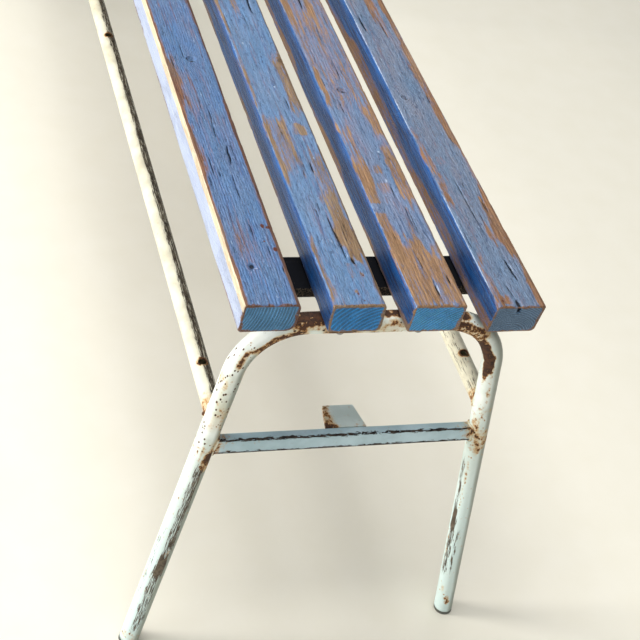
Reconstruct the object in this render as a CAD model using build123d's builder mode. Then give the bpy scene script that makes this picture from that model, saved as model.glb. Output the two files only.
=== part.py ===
"""Backless bench: four timber slats on two bent tube hoops joined by two low rails.

Millimetres, +Z up. X runs along the seat and Y across it. The origin is on the floor
under the middle of the seat. The "near" end is the -X end; "left" is +Y.
"""
import os
from math import hypot

from build123d import *

# ---- Driving dimensions -------------------------------------------------------------
SEAT_HEIGHT = 457.0

SLAT_LENGTH = 1250.0
SLAT_THICKNESS = 32.0
SLAT_ARRIS = 4.0
SLAT_END_CHAMFER = 1.2
# centre of the top face, width, how far the slat is set along X, and how far its
# underside sits to the left of its top, as no slat was sawn quite square
SLATS = {
    "slat_1": (112.5, 52.0, 4.0, 0.5),
    "slat_2": (35.7, 51.0, 1.0, -1.5),
    "slat_3": (-39.5, 51.0, -1.0, 0.5),
    "slat_4": (-116.5, 50.0, -4.0, 3.0),
}

TUBE_RADIUS = 10.0
TUBE_WALL = 1.5
BEND_RADIUS = 62.0
HOOP_TOP_X = 599.5      # top of each hoop, from the middle of the bench
HOOP_FOOT_X = 628.0     # feet, a little further out, so the hoops lean outwards
SHOULDER_Y = 119.0      # where the leg and top centre lines would cross
FOOT_Y = 176.0
FOOT_PLUG_HEIGHT = 4.0
FOOT_PLUG_STEM = 16.0
FOOT_PLUG_SLACK = 0.05

STRETCHER_Z = 272.0
STRETCHER_HEIGHT = 18.0
STRETCHER_DEPTH = 10.0
STRETCHER_WALL = 1.5
STRETCHER_CORNER = 2.0

LUG_ROOT_WIDTH = 41.0
LUG_TIP_WIDTH = 31.0
LUG_LENGTH = 30.0
LUG_THICKNESS = 3.0
LUG_CORNER = 1.0

RAIL_Z = 306.5
RAIL_RADIUS = 9.0
RAIL_WALL = 1.5
RAIL_HOLE_RADIUS = 4.25

STRAP_X = {"near": -545.0, "middle": 0.0, "far": 545.0}   # and the rail holes
STRAP_WIDTH = 44.0
STRAP_DEPTH = 11.0
STRAP_SHEET = 2.0
STRAP_LENGTH = 256.0

SCREW_RADIUS = 2.25
SCREW_HOLE_RADIUS = 2.3
SCREW_GRIP = 20.0       # how deep each screw bites into its slat
SCREW_HEAD_RADIUS = 4.5
SCREW_HEAD_HEIGHT = 3.0
SCREW_SLOT_WIDTH = 1.2
SCREW_SLOT_DEPTH = 1.0
SCREW_TIP = 3.0
STRAP_SCREW_SPREAD = 24.0

# ---- Worked out from them ------------------------------------------------------------
SLAT_BOTTOM_Z = SEAT_HEIGHT - SLAT_THICKNESS
TOP_TUBE_Z = SLAT_BOTTOM_Z - TUBE_RADIUS
HOOP_HEIGHT = hypot(TOP_TUBE_Z, HOOP_FOOT_X - HOOP_TOP_X)
LEG_OVERRUN = 1.1       # legs are drawn 10 % too long, then cut level
ENDS = {"near": -1, "far": 1}
SIDES = {"left": 1, "right": -1}
FRAME_SLATS = ("slat_2", "slat_3")   # the two that sit on the straight of each hoop


def frame_point(end, height):
    """Centre line X and leg centre line Y of a hoop at a height above the floor."""
    drop = (TOP_TUBE_Z - height) / TOP_TUBE_Z
    x = HOOP_TOP_X + (HOOP_FOOT_X - HOOP_TOP_X) * drop
    y = SHOULDER_Y + (FOOT_Y - SHOULDER_Y) * drop
    return ENDS[end] * x, y


def hoop_plane(end, height=TOP_TUBE_Z):
    """The leaning plane of a hoop: its x along +Y, its y up the lean."""
    foot_x, _ = frame_point(end, 0)
    top_x, _ = frame_point(end, TOP_TUBE_Z)
    up = Vector(top_x - foot_x, 0, TOP_TUBE_Z)
    x, _ = frame_point(end, height)
    return Plane(origin=(x, 0, height), x_dir=(0, 1, 0), z_dir=Vector(0, 1, 0).cross(up))


def sweep_hoop(end, radius):
    """A solid bar along a hoop's centre line, with legs that run past the floor."""
    leg_y = SHOULDER_Y + (FOOT_Y - SHOULDER_Y) * LEG_OVERRUN
    leg_drop = -HOOP_HEIGHT * LEG_OVERRUN
    with BuildPart() as bar:
        with BuildLine(hoop_plane(end)) as path:
            FilletPolyline(
                (-leg_y, leg_drop), (-SHOULDER_Y, 0), (SHOULDER_Y, 0), (leg_y, leg_drop),
                radius=BEND_RADIUS,
            )
        with BuildSketch(Plane(origin=path.line @ 0, z_dir=path.line % 0)):
            Circle(radius)
        sweep()
    return bar.part


def save(part, name):
    """Label a finished part and write it."""
    part.label = name
    export_step(part, f"parts/{name}.step")


def screw_points(slat_names, x, spread):
    """Screw centres under the named slats, in pairs when spread is not zero."""
    offsets = (-spread / 2, spread / 2) if spread else (0.0,)
    return [(x + dx, SLATS[name][0]) for name in slat_names for dx in offsets]


# ---- Sub-parts -----------------------------------------------------------------------
def make_slat(name, screws):
    """One timber slat with eased arrises and blind pilot holes underneath."""
    centre_y, width, shift_x, lean = SLATS[name]
    left = centre_y + width / 2
    right = centre_y - width / 2
    with BuildPart() as slat:
        with BuildSketch(Plane.YZ.offset(shift_x - SLAT_LENGTH / 2)) as section:
            with BuildLine():
                Polyline(
                    (right, SEAT_HEIGHT), (left, SEAT_HEIGHT),
                    (left + lean, SLAT_BOTTOM_Z), (right + lean, SLAT_BOTTOM_Z), close=True,
                )
            make_face()
            fillet(section.vertices(), SLAT_ARRIS)
        extrude(amount=SLAT_LENGTH)
        chamfer(slat.faces().filter_by(Axis.X).edges(), SLAT_END_CHAMFER)
        with BuildSketch(Plane.XY.offset(SLAT_BOTTOM_Z)):
            with Locations(*[point for point in screws if point[1] == centre_y]):
                Circle(SCREW_HOLE_RADIUS)
        extrude(amount=SCREW_GRIP, mode=Mode.SUBTRACT)
    save(slat.part, name)


def make_hoop(end, bar, bore, screws):
    """Bent end tube: top, two shoulders and two splayed legs in one hollow piece."""
    with BuildPart() as hoop:
        add(bar)
        add(bore, mode=Mode.SUBTRACT)
        split(bisect_by=Plane.XY.offset(FOOT_PLUG_HEIGHT), keep=Keep.TOP)
        with BuildSketch(Plane.XY.offset(TOP_TUBE_Z)):
            with Locations(*screws):
                Circle(SCREW_HOLE_RADIUS)
        extrude(amount=2 * TUBE_RADIUS, both=True, mode=Mode.SUBTRACT)
    save(hoop.part, f"end_hoop_{end}")


def make_stretcher(end, bar):
    """Flattened box tube between the legs, its ends cut to the legs' round."""
    _, leg_y = frame_point(end, STRETCHER_Z)
    with BuildPart() as stretcher:
        across = Plane(
            origin=hoop_plane(end, STRETCHER_Z).origin,
            x_dir=hoop_plane(end).z_dir,
            z_dir=(0, -1, 0),
        )
        with BuildSketch(across):
            RectangleRounded(STRETCHER_DEPTH, STRETCHER_HEIGHT, STRETCHER_CORNER)
            Rectangle(
                STRETCHER_DEPTH - 2 * STRETCHER_WALL,
                STRETCHER_HEIGHT - 2 * STRETCHER_WALL,
                mode=Mode.SUBTRACT,
            )
        extrude(amount=leg_y, both=True)
        add(bar, mode=Mode.SUBTRACT)
    save(stretcher.part, f"stretcher_{end}")


def make_lug(end):
    """Small tapered plate on the inner face of the stretcher, level with its top."""
    lean = hoop_plane(end, STRETCHER_Z)
    inward = lean.z_dir * -ENDS[end]
    root = lean.origin + inward * (STRETCHER_DEPTH / 2) + lean.y_dir * (STRETCHER_HEIGHT / 2)
    with BuildPart() as lug:
        with BuildSketch(Plane(origin=root, x_dir=inward, z_dir=lean.y_dir)) as outline:
            with BuildLine():
                Polyline(
                    (0, -LUG_ROOT_WIDTH / 2), (LUG_LENGTH, -LUG_TIP_WIDTH / 2),
                    (LUG_LENGTH, LUG_TIP_WIDTH / 2), (0, LUG_ROOT_WIDTH / 2), close=True,
                )
            make_face()
            fillet(outline.vertices().group_by(Axis.X)[-1], LUG_CORNER)
        extrude(amount=-LUG_THICKNESS)
    save(lug.part, f"stretcher_lug_{end}")


def make_rail(side, bars):
    """Long round tube welded between the hoops, drilled down through at three places."""
    near_x, leg_y = frame_point("near", RAIL_Z)
    centre_y = SIDES[side] * leg_y
    with BuildPart() as rail:
        with BuildSketch(Plane.YZ.offset(near_x)):
            with Locations((centre_y, RAIL_Z)):
                Circle(RAIL_RADIUS)
                Circle(RAIL_RADIUS - RAIL_WALL, mode=Mode.SUBTRACT)
        extrude(amount=-2 * near_x)
        for bar in bars.values():
            add(bar, mode=Mode.SUBTRACT)
        with BuildSketch(Plane.XY.offset(RAIL_Z)):
            with Locations(*[(x, centre_y) for x in STRAP_X.values()]):
                Circle(RAIL_HOLE_RADIUS)
        extrude(amount=2 * RAIL_RADIUS, both=True, mode=Mode.SUBTRACT)
    save(rail.part, f"rail_{side}")


def make_strap(place, screws):
    """Folded sheet channel, flanges down, that ties the four slats together."""
    half = STRAP_WIDTH / 2
    with BuildPart() as strap:
        with BuildSketch(Plane.XZ) as section:
            with Locations((STRAP_X[place], SLAT_BOTTOM_Z)):
                Rectangle(STRAP_WIDTH, STRAP_DEPTH, align=(Align.CENTER, Align.MAX))
            fillet(section.vertices().group_by(Axis.Z)[-1], STRAP_SHEET)
            with Locations((STRAP_X[place], SLAT_BOTTOM_Z - STRAP_SHEET)):
                Rectangle(
                    2 * (half - STRAP_SHEET), STRAP_DEPTH,
                    align=(Align.CENTER, Align.MAX), mode=Mode.SUBTRACT,
                )
        extrude(amount=STRAP_LENGTH / 2, both=True)
        with BuildSketch(Plane.XY.offset(SLAT_BOTTOM_Z)):
            with Locations(*screws):
                Circle(SCREW_HOLE_RADIUS)
        extrude(amount=-2 * STRAP_SHEET, mode=Mode.SUBTRACT)
    save(strap.part, f"cross_strap_{place}")


def make_screws(name, points, seat_z):
    """A group of slotted round-head wood screws driven upwards from seat_z."""
    length = SLAT_BOTTOM_Z + SCREW_GRIP - SCREW_TIP - seat_z
    with BuildPart() as screws:
        with BuildSketch(Plane.XY.offset(seat_z)):
            with Locations(*points):
                Circle(SCREW_RADIUS)
        extrude(amount=length)
        chamfer(screws.edges().group_by(Axis.Z)[-1], SCREW_TIP - 1, SCREW_RADIUS - 0.5)
        with BuildSketch(Plane.XY.offset(seat_z)):
            with Locations(*points):
                Circle(SCREW_HEAD_RADIUS)
        extrude(amount=-SCREW_HEAD_HEIGHT)
        fillet(screws.edges().group_by(Axis.Z)[0], SCREW_HEAD_HEIGHT * 0.8)
        with BuildSketch(Plane.XY.offset(seat_z - SCREW_HEAD_HEIGHT)):
            with Locations(*points):
                Rectangle(2 * SCREW_HEAD_RADIUS, SCREW_SLOT_WIDTH)
        extrude(amount=SCREW_SLOT_DEPTH, mode=Mode.SUBTRACT)
    save(screws.part, name)


def make_foot_plug(end, side, bar, stem_bar):
    """Push-in foot: a pad as wide as the tube with a stem inside the leg."""
    with BuildPart() as plug:
        add(bar)
        split(bisect_by=Plane.XY.offset(FOOT_PLUG_HEIGHT), keep=Keep.BOTTOM)
        add(stem_bar)
        split(bisect_by=Plane.XY.offset(FOOT_PLUG_HEIGHT + FOOT_PLUG_STEM), keep=Keep.BOTTOM)
        split(bisect_by=Plane.XY, keep=Keep.TOP)
        keep_side = Keep.TOP if SIDES[side] < 0 else Keep.BOTTOM
        split(bisect_by=Plane.XZ, keep=keep_side)
    save(plug.part, f"foot_plug_{end}_{side}")


def main():
    os.makedirs("parts", exist_ok=True)
    frame_screws = {
        end: screw_points(FRAME_SLATS, ENDS[end] * HOOP_TOP_X, 0) for end in ENDS
    }
    strap_screws = {
        place: screw_points(SLATS, x, STRAP_SCREW_SPREAD) for place, x in STRAP_X.items()
    }
    all_screws = [point for group in (frame_screws, strap_screws) for points in group.values()
                  for point in points]
    bars = {end: sweep_hoop(end, TUBE_RADIUS) for end in ENDS}

    for name in SLATS:
        make_slat(name, all_screws)
    for end in ENDS:
        bore = sweep_hoop(end, TUBE_RADIUS - TUBE_WALL)
        stem = sweep_hoop(end, TUBE_RADIUS - TUBE_WALL - FOOT_PLUG_SLACK)
        make_hoop(end, bars[end], bore, frame_screws[end])
        make_stretcher(end, bars[end])
        make_lug(end)
        make_screws(f"frame_screws_{end}", frame_screws[end], TOP_TUBE_Z - TUBE_RADIUS)
        for side in SIDES:
            make_foot_plug(end, side, bars[end], stem)
    for side in SIDES:
        make_rail(side, bars)
    for place in STRAP_X:
        make_strap(place, strap_screws[place])
        make_screws(f"strap_screws_{place}", strap_screws[place], SLAT_BOTTOM_Z - STRAP_SHEET)


main()
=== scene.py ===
from math import cos, pi, radians, sin

import bmesh
import bpy
import numpy as np
from mathutils import Matrix, Vector


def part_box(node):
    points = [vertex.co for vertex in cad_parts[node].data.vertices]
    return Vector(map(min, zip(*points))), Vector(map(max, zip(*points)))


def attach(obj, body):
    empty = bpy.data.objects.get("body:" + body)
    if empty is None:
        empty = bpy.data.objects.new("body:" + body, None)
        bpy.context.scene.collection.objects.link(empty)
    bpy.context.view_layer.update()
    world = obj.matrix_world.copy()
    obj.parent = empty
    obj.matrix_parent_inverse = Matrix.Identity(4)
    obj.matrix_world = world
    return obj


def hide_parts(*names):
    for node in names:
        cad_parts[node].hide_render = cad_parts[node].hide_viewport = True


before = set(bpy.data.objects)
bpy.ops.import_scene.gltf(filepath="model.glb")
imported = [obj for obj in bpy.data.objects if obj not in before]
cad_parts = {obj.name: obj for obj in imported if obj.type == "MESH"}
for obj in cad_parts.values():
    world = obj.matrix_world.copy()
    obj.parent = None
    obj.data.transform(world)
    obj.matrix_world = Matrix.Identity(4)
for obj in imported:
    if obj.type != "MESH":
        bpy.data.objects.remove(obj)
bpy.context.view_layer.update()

MM = 0.001  # the tables below are in millimetres
HALF_LENGTH = 625  # from the middle of the bench to the mean end of the slats
NOISE_CELLS = 128  # the noise repeats after this many
HALF = 0.5  # the middle of every cloud


# ---------------------------------------------------------------- small tools


def srgb(red, green, blue):
    """A colour picked on screen, from 0 to 255, as linear light."""
    out = []
    for value in (red, green, blue):
        value /= 255
        out.append(value / 12.92 if value <= 0.04045 else ((value + 0.055) / 1.055) ** 2.4)
    return (*out, 1.0)


def toned(colour, factor, lift=0.0):
    """A colour made darker or lighter."""
    return (*(min(1.0, c * factor + lift) for c in colour[:3]), 1.0)


def smooth(value, low, high):
    """0 below low, 1 above high, with a soft step between them."""
    t = np.clip((value - low) / (high - low), 0, 1)
    return t * t * (3 - 2 * t)


def band(value, low, high, fade):
    """1 between low and high, 0 outside them, with a soft step at both."""
    return smooth(value, low - fade, low + fade) * (1 - smooth(value, high - fade, high + fade))


def bell(t):
    """1 where t is 0, and almost nothing from 2 outwards on either side."""
    return np.exp(-(t**2))


def noise(x, y, seed):
    """Smooth seeded noise from 0 to 1, with one cell to each unit of x and y."""
    table = np.random.RandomState(seed).rand(NOISE_CELLS, NOISE_CELLS)
    i, j = np.floor(x).astype(int), np.floor(y).astype(int)
    u, v = x - i, y - j
    u, v = u * u * (3 - 2 * u), v * v * (3 - 2 * v)
    i0, i1, j0, j1 = i % NOISE_CELLS, (i + 1) % NOISE_CELLS, j % NOISE_CELLS, (j + 1) % NOISE_CELLS
    low = table[i0, j0] * (1 - u) + table[i1, j0] * u
    high = table[i0, j1] * (1 - u) + table[i1, j1] * u
    return low * (1 - v) + high * v


def near_line(x, y, points):
    """Distance to a run of straight lines, and how far along it the nearest place is, 0 to 1."""
    points = np.array(points, float)
    runs = np.linalg.norm(np.diff(points, axis=0), axis=1)
    starts = np.concatenate(([0], np.cumsum(runs)))
    best = np.full(x.shape, np.inf)
    along = np.zeros(x.shape)
    for k, run in enumerate(runs):
        ax, ay = points[k]
        dx, dy = (points[k + 1] - points[k]) / run
        t = np.clip((x - ax) * dx + (y - ay) * dy, 0, run)
        gap = np.hypot(x - ax - t * dx, y - ay - t * dy)
        closer = gap < best
        best[closer] = gap[closer]
        along[closer] = (starts[k] + t[closer]) / starts[-1]
    return best, along


def make_piece(name, points, faces, material, layers):
    """A smooth mesh that rides on the bench. Points are in metres, and each layer has a value for each."""
    mesh = bpy.data.meshes.new(name)
    mesh.from_pydata(points.tolist(), [], faces)
    for key, values in layers.items():
        values = np.asarray(values, dtype=np.float32)
        if values.ndim == 2:
            mesh.attributes.new(key, "FLOAT_VECTOR", "POINT").data.foreach_set("vector", values.ravel())
        else:
            mesh.attributes.new(key, "FLOAT", "POINT").data.foreach_set("value", values)
    mesh.shade_smooth()
    mesh.materials.append(material)
    piece = bpy.data.objects.new(name, mesh)
    bpy.context.collection.objects.link(piece)
    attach(piece, "root")
    return piece


class Finish:
    """A procedural material being built. Each call adds a node and returns its output."""

    def __init__(self, name):
        self.material = bpy.data.materials.new(name)
        self.material.use_nodes = True
        self.nodes = self.material.node_tree.nodes
        self.links = self.material.node_tree.links
        self.shader = self.nodes["Principled BSDF"]
        self.place = self.nodes.new("ShaderNodeTexCoord").outputs["Object"]

    def feed(self, socket, value):
        """Links an output to the socket, or sets the socket to a number or a colour."""
        if isinstance(value, bpy.types.NodeSocket):
            self.links.new(value, socket)
        else:
            socket.default_value = value

    def layer(self, name, output="Fac"):
        node = self.nodes.new("ShaderNodeAttribute")
        node.attribute_name = name
        return node.outputs[output]

    def math(self, operation, a, b=0.0, clamp=False):
        node = self.nodes.new("ShaderNodeMath")
        node.operation = operation
        node.use_clamp = clamp
        self.feed(node.inputs[0], a)
        self.feed(node.inputs[1], b)
        return node.outputs[0]

    def times(self, a, b):
        return self.math("MULTIPLY", a, b)

    def plus(self, a, b):
        return self.math("ADD", a, b)

    def stir(self, value, cloud, amount, clamp=False):
        """Moves value up and down with a cloud, by half of amount each way."""
        return self.math("ADD", value, self.times(self.math("SUBTRACT", cloud, HALF), amount), clamp)

    def step(self, value, low, high, bottom=0.0, top=1.0):
        """Goes smoothly from bottom to top as value goes from low to high."""
        node = self.nodes.new("ShaderNodeMapRange")
        node.interpolation_type = "SMOOTHSTEP"
        for socket, number in zip(node.inputs, (value, low, high, bottom, top)):
            self.feed(socket, number)
        return node.outputs[0]

    def blend(self, amount, a, b):
        node = self.nodes.new("ShaderNodeMix")
        node.data_type = "RGBA"
        node.clamp_factor = True
        self.feed(node.inputs[0], amount)
        self.feed(node.inputs[6], a)
        self.feed(node.inputs[7], b)
        return node.outputs[2]

    def lumpy(self, node, size, vector):
        """Sets a texture's lumps to about size metres, given as one number or one for each axis."""
        size = size if isinstance(size, tuple) else (size, size, size)
        scaled = self.nodes.new("ShaderNodeVectorMath")
        scaled.operation = "MULTIPLY"
        self.feed(scaled.inputs[0], vector or self.place)
        self.feed(scaled.inputs[1], [1 / s for s in size])
        self.feed(node.inputs["Vector"], scaled.outputs[0])
        node.inputs["Scale"].default_value = 1.0

    def split(self, vector):
        node = self.nodes.new("ShaderNodeSeparateXYZ")
        self.feed(node.inputs[0], vector)
        return node.outputs

    def cloud(self, size, detail=3.0, rough=0.55, vector=None, twist=0.0, seed=0.0):
        """Noise from 0 to 1 whose lumps are about size metres."""
        node = self.nodes.new("ShaderNodeTexNoise")
        node.noise_dimensions = "4D"
        self.lumpy(node, size, vector)
        node.inputs["W"].default_value = seed
        node.inputs["Detail"].default_value = detail
        node.inputs["Roughness"].default_value = rough
        node.inputs["Distortion"].default_value = twist
        return node.outputs["Fac"]

    def cells(self, size, vector=None):
        """Distance to the nearest of scattered points about size metres apart."""
        node = self.nodes.new("ShaderNodeTexVoronoi")
        self.lumpy(node, size, vector)
        return node.outputs["Distance"]

    def bump(self, height, depth, strength):
        node = self.nodes.new("ShaderNodeBump")
        node.inputs["Distance"].default_value = depth
        node.inputs["Strength"].default_value = strength
        self.feed(node.inputs["Height"], height)
        self.feed(self.shader.inputs["Normal"], node.outputs[0])

    def finish(self, colour, roughness, metallic=0.0, specular=0.5):
        """Feeds the shader and returns the material."""
        self.feed(self.shader.inputs["Base Color"], colour)
        self.feed(self.shader.inputs["Roughness"], roughness)
        self.feed(self.shader.inputs["Metallic"], metallic)
        self.shader.inputs["Specular IOR Level"].default_value = specular
        return self.material


# ---------------------------------------------------------------- painted timber

# One entry for each slat, with x measured from the near end and y across the bench.
# radii: of the corners, in the order top left, top right, bottom right, bottom left.
# lean: how far the underside sits to the left of the top. taper: how far the right side draws in.
# pith: the middle of the growth rings from the middle of the end face. ring: their pitch.
# bare: x from, x to, y from, y to, strength; a negative strength keeps the paint whole.
# cracks: the line each follows, half width, depth. dents: place, half sizes, depth. knots: place, radius.
# blisters: place, half sizes, height. spots of rust: place, half sizes.
# sun: how pale the left face or arris is made, a painted highlight for the light from the left. bare_foot:
# how high the sides are bare.
SLATS = {
    1: {
        "radii": (3.2, 6.0, 9.0, 3.0),
        "lean": 0.5,
        "taper": 0.0,
        "pith": (58, 14),
        "ring": 2.7,
        "bare": [
            (-5, 1250, 134.8, 139.5, 0.7), (-5, 300, 82, 92.3, 0.62), (300, 1250, 82, 90.4, 0.5),
            (-5, 3.2, 86, 139, 0.75), (2, 60, 88, 92.5, 0.25), (58, 106, 108, 126, 0.2),
            (186, 258, 131, 139, 0.45), (275, 345, 117, 135, 0.24), (300, 372, 128, 136, 0.3),
            (440, 500, 87, 94, 0.35), (8, 50, 95, 108, -0.15),
        ],
        "cracks": [
            ([(195, 106.5), (206, 105), (214, 105.6), (225, 104)], 0.8, 2.0),
            ([(175, 121), (181, 120.3), (186, 120.8)], 0.5, 0.8), ([(236, 112), (262, 111)], 0.5, 0.8),
            ([(60, 99), (84, 100)], 0.4, 0.5),
        ],
        "dents": [(54.5, 119.8, 3.6, 3.2, 1.9), (50.5, 121.5, 2.6, 1.6, 1.0)],
        "knots": [(366, 109.5, 6.0)],
        "blisters": [(50.5, 117.4, 1.3, 3.4, 0.34), (46.5, 122.6, 4.6, 0.7, 0.34)],
        "spots": [(75.5, 93.7, 3.0, 2.2), (107, 98, 3.0, 2.0), (105, 93, 2.2, 2.6), (86, 101, 1.0, 1.0)],
        "sun": 0.92,
        "bare_foot": 3,
    },
    2: {
        "radii": (2.8, 3.8, 7.0, 3.0),
        "lean": -1.5,
        "taper": 0.0,
        "pith": (-36, -40),
        "ring": 3.9,
        "bare": [
            (-5, 3.0, 8, 63, 0.6), (-5, 92, 56, 60, 0.42), (168, 268, 56, 60.5, 0.48),
            (300, 1250, 57, 62, 0.45), (62, 158, 13.5, 31, 0.5), (70, 128, 15, 27, 0.22),
            (158, 215, 14, 31, 0.3), (6, 58, 8, 13.5, 0.48), (36, 57, 30.6, 34, 0.45),
            (18, 22, 34, 37, 0.5), (38, 45, 20.5, 24, 0.5), (243, 262, 21, 31, 0.4),
            (278, 307, 21.5, 24.5, 0.4), (292, 376, 10, 14.2, 0.5), (362, 376, 10, 18, 0.35),
            (188, 264, 36, 60, 0.34), (284, 376, 14, 23, 0.42), (242, 258, 17, 26, 0.42),
            (-5, 1250, 6, 12.8, 0.5),
        ],
        "cracks": [
            ([(62, 31), (86, 31.4), (106, 32.6), (126, 33.4)], 0.62, 2.2),
            ([(183, 28.5), (201, 28.3)], 0.7, 1.5), ([(55, 24), (64, 26.5)], 0.9, 1.2),
            ([(118, 41), (131, 41.4)], 0.4, 0.6), ([(96, 20.5), (112, 21)], 0.35, 0.5),
        ],
        "dents": [(60, 25.5, 5.0, 3.4, 1.0), (193, 14.7, 1.8, 1.6, 1.0)],
        "knots": [(369, 14, 4.0)],
        "blisters": [
            (206, 23, 3.0, 1.5, 0.3), (322, 33, 2.6, 1.8, 0.3), (399, 48, 4.0, 1.8, 0.3),
            (13, 25.5, 1.8, 1.4, 0.3), (66, 29, 5.5, 0.8, 0.3), (20, 35.5, 1.4, 0.9, 0.2),
        ],
        "spots": [(41, 22, 1.2, 1.0), (17, 33.5, 1.6, 0.9), (8, 30, 1.0, 0.8)],
        "sun": 0.75,
        "bare_foot": 6,
    },
    3: {
        "radii": (2.8, 3.0, 3.2, 3.0),
        "lean": 0.5,
        "taper": 0.0,
        "pith": (-70, -82),
        "ring": 2.5,
        "bare": [
            (-5, 84, -65, -14, 0.52), (60, 132, -27, -15, 0.55), (136, 190, -27, -15, 0.5),
            (188, 258, -28, -15, 0.32), (130, 222, -63, -50, 0.5), (243, 292, -63, -51, 0.5),
            (80, 150, -48, -26, 0.12), (154, 170, -42, -31, 0.34), (184, 197, -42, -32, 0.34),
            (292, 354, -22, -15, 0.5), (290, 1250, -64, -14, 0.2), (74, 130, -60, -49.5, -0.5),
            (126, 139, -33, -14, -0.5), (10, 38, -48, -42, -0.3), (82, 126, -40, -27, -0.22),
            (-5, 1250, -65, -62.5, 0.35),
        ],
        "cracks": [
            ([(5, -42), (22, -41.4), (35, -42.2)], 0.7, 1.2),
            ([(105, -48), (121, -47.6), (138, -48.4)], 0.5, 1.4), ([(26, -57.5), (40, -57)], 0.7, 1.4),
            ([(44, -38), (74, -36.6)], 0.4, 0.7), ([(140, -44), (166, -43)], 0.5, 0.9),
        ],
        "dents": [(212, -56, 4.0, 1.6, 0.9)],
        "knots": [(321, -39, 6.0)],
        "blisters": [
            (173, -41.5, 4.2, 1.6, 0.3), (218, -47, 2.8, 1.8, 0.3), (20, -42.8, 13.0, 0.8, 0.25),
            (12, -21, 3.0, 1.8, 0.25),
        ],
        "spots": [(42, -57, 1.2, 0.6)],
        "sun": 0.6,
        "bare_foot": 9,
    },
    4: {
        "radii": (2.8, 2.6, 4.5, 2.4),
        "lean": 3.0,
        "taper": 2.4,
        "pith": (3, -21),
        "ring": 2.0,
        "bare": [
            (-5, 60, -98.5, -92.5, 0.5), (136, 180, -101, -94, 0.46), (178, 250, -100, -93, 0.3),
            (0, 12, -109, -97, 0.4), (82, 112, -132, -119, 0.42), (-5, 72, -144, -134, 0.62),
            (66, 152, -144, -127, 0.6), (150, 246, -144, -135, 0.42), (240, 420, -144, -130, 0.52),
            (420, 1250, -144, -133, 0.4), (200, 212, -114, -106, 0.2), (14, 60, -131, -112, -0.2),
        ],
        "cracks": [
            ([(-9, -115.2), (-3, -114.2), (6, -113)], 1.6, 3.4),
            ([(30, -125), (45, -123.6), (63, -122)], 0.8, 2.0),
            ([(86, -116), (130, -114.4), (188, -113)], 0.45, 0.9),
            ([(8, -112.5), (28, -110)], 0.5, 1.0),
        ],
        "dents": [(173, -92, 5.0, 2.2, 1.6), (5, -102, 4.0, 3.0, 0.6)],
        "knots": [(312, -106, 5.0), (297.5, -91, 3.4)],
        "blisters": [(61, -107, 0.5, 8.0, 0.16), (46, -125, 9.0, 0.7, 0.3)],
        "spots": [(5, -100, 1.8, 1.2), (8, -106, 1.2, 1.0)],
        "sun": 0.7,
        "bare_foot": 14,
    },
}
TOP_CELLS, SIDE_CELLS = 52, 22  # quads across a slat's top and down its side
CORNER_CELLS = 16  # steps round a corner before the section is made even
HALF_CORNER = CORNER_CELLS // 2
RING_GAP = 2.4  # along a slat
END_ROUND = 1.8  # how far the end arrises are worn round
END_RINGS = (1.0, 2.2, 3.6, 5.2, 7.0)  # places of the rings just inside a worn end
END_CLEAR = 9  # from a worn end to the even rings
FAULT_RINGS = 18  # closer rings at a knot or a dent
FAULT_REACH = 7.6  # how far they run on either side of it
FAULT_CLEAR = 8.4  # no even ring is closer to it than this
CRACK_REACH = 3.0  # how far from a crack its layer fades out
LISTED_FROM, LISTED_TO = 380, 520  # over this stretch the seeded wear takes over from the listed
FAR_KNOTS = (560, 760, 930, 1110)
FAR_CHECKS = (470, 640, 820, 1010, 1170)
SMALL_CHECKS = 46
END_RIM = 9  # radius of the worn rim at the bottom right of an end face
TOP_ROOM = 0.35  # a slat's faces lie this far inside the CAD slat, so that lips and blisters fit


def outline(width, height, radii, lean):
    """A slat's section round its middle as four runs, cut half way round each corner. Left is +y."""
    half_w, half_h = (width - abs(lean)) / 2 - TOP_ROOM, height / 2 - TOP_ROOM
    corners = ((1, 1), (-1, 1), (-1, -1), (1, -1))  # top left, top right, bottom right, bottom left
    arcs = []
    for k, ((sy, sz), radius) in enumerate(zip(corners, radii)):
        middle = np.array((sy * (half_w - radius), sz * (half_h - radius)))
        turns = np.radians(np.linspace(90 * k, 90 * k + 90, CORNER_CELLS + 1))
        arc = middle + radius * np.stack((np.cos(turns), np.sin(turns)), 1)
        arc[:, 0] -= lean * arc[:, 1] / height
        arcs.append(arc)
    # going from left over the top to the right, the turn grows from 0 to 180 degrees
    runs = []
    for k in range(4):
        here, after = arcs[k], arcs[(k + 1) % 4]
        runs.append(np.vstack((here[HALF_CORNER:], after[: HALF_CORNER + 1])))
    return runs


def resample(run, cells):
    """The same line with its points evenly spaced."""
    steps = np.concatenate(([0], np.cumsum(np.linalg.norm(np.diff(run, axis=0), axis=1))))
    wanted = np.linspace(0, steps[-1], cells + 1)
    return np.stack((np.interp(wanted, steps, run[:, 0]), np.interp(wanted, steps, run[:, 1])), 1)


def section(width, height, radii, lean):
    """The section's points in a loop from half way round the top left corner, and their outward normals."""
    top, right, bottom, left = outline(width, height, radii, lean)
    cells = (TOP_CELLS, SIDE_CELLS, TOP_CELLS, SIDE_CELLS)
    loop = np.vstack([resample(run, n)[:-1] for run, n in zip((top, right, bottom, left), cells)])
    along = np.roll(loop, -1, axis=0) - np.roll(loop, 1, axis=0)
    normals = np.stack((along[:, 1], -along[:, 0]), 1)
    normals /= np.linalg.norm(normals, axis=1)[:, None]
    return loop, normals


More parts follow.
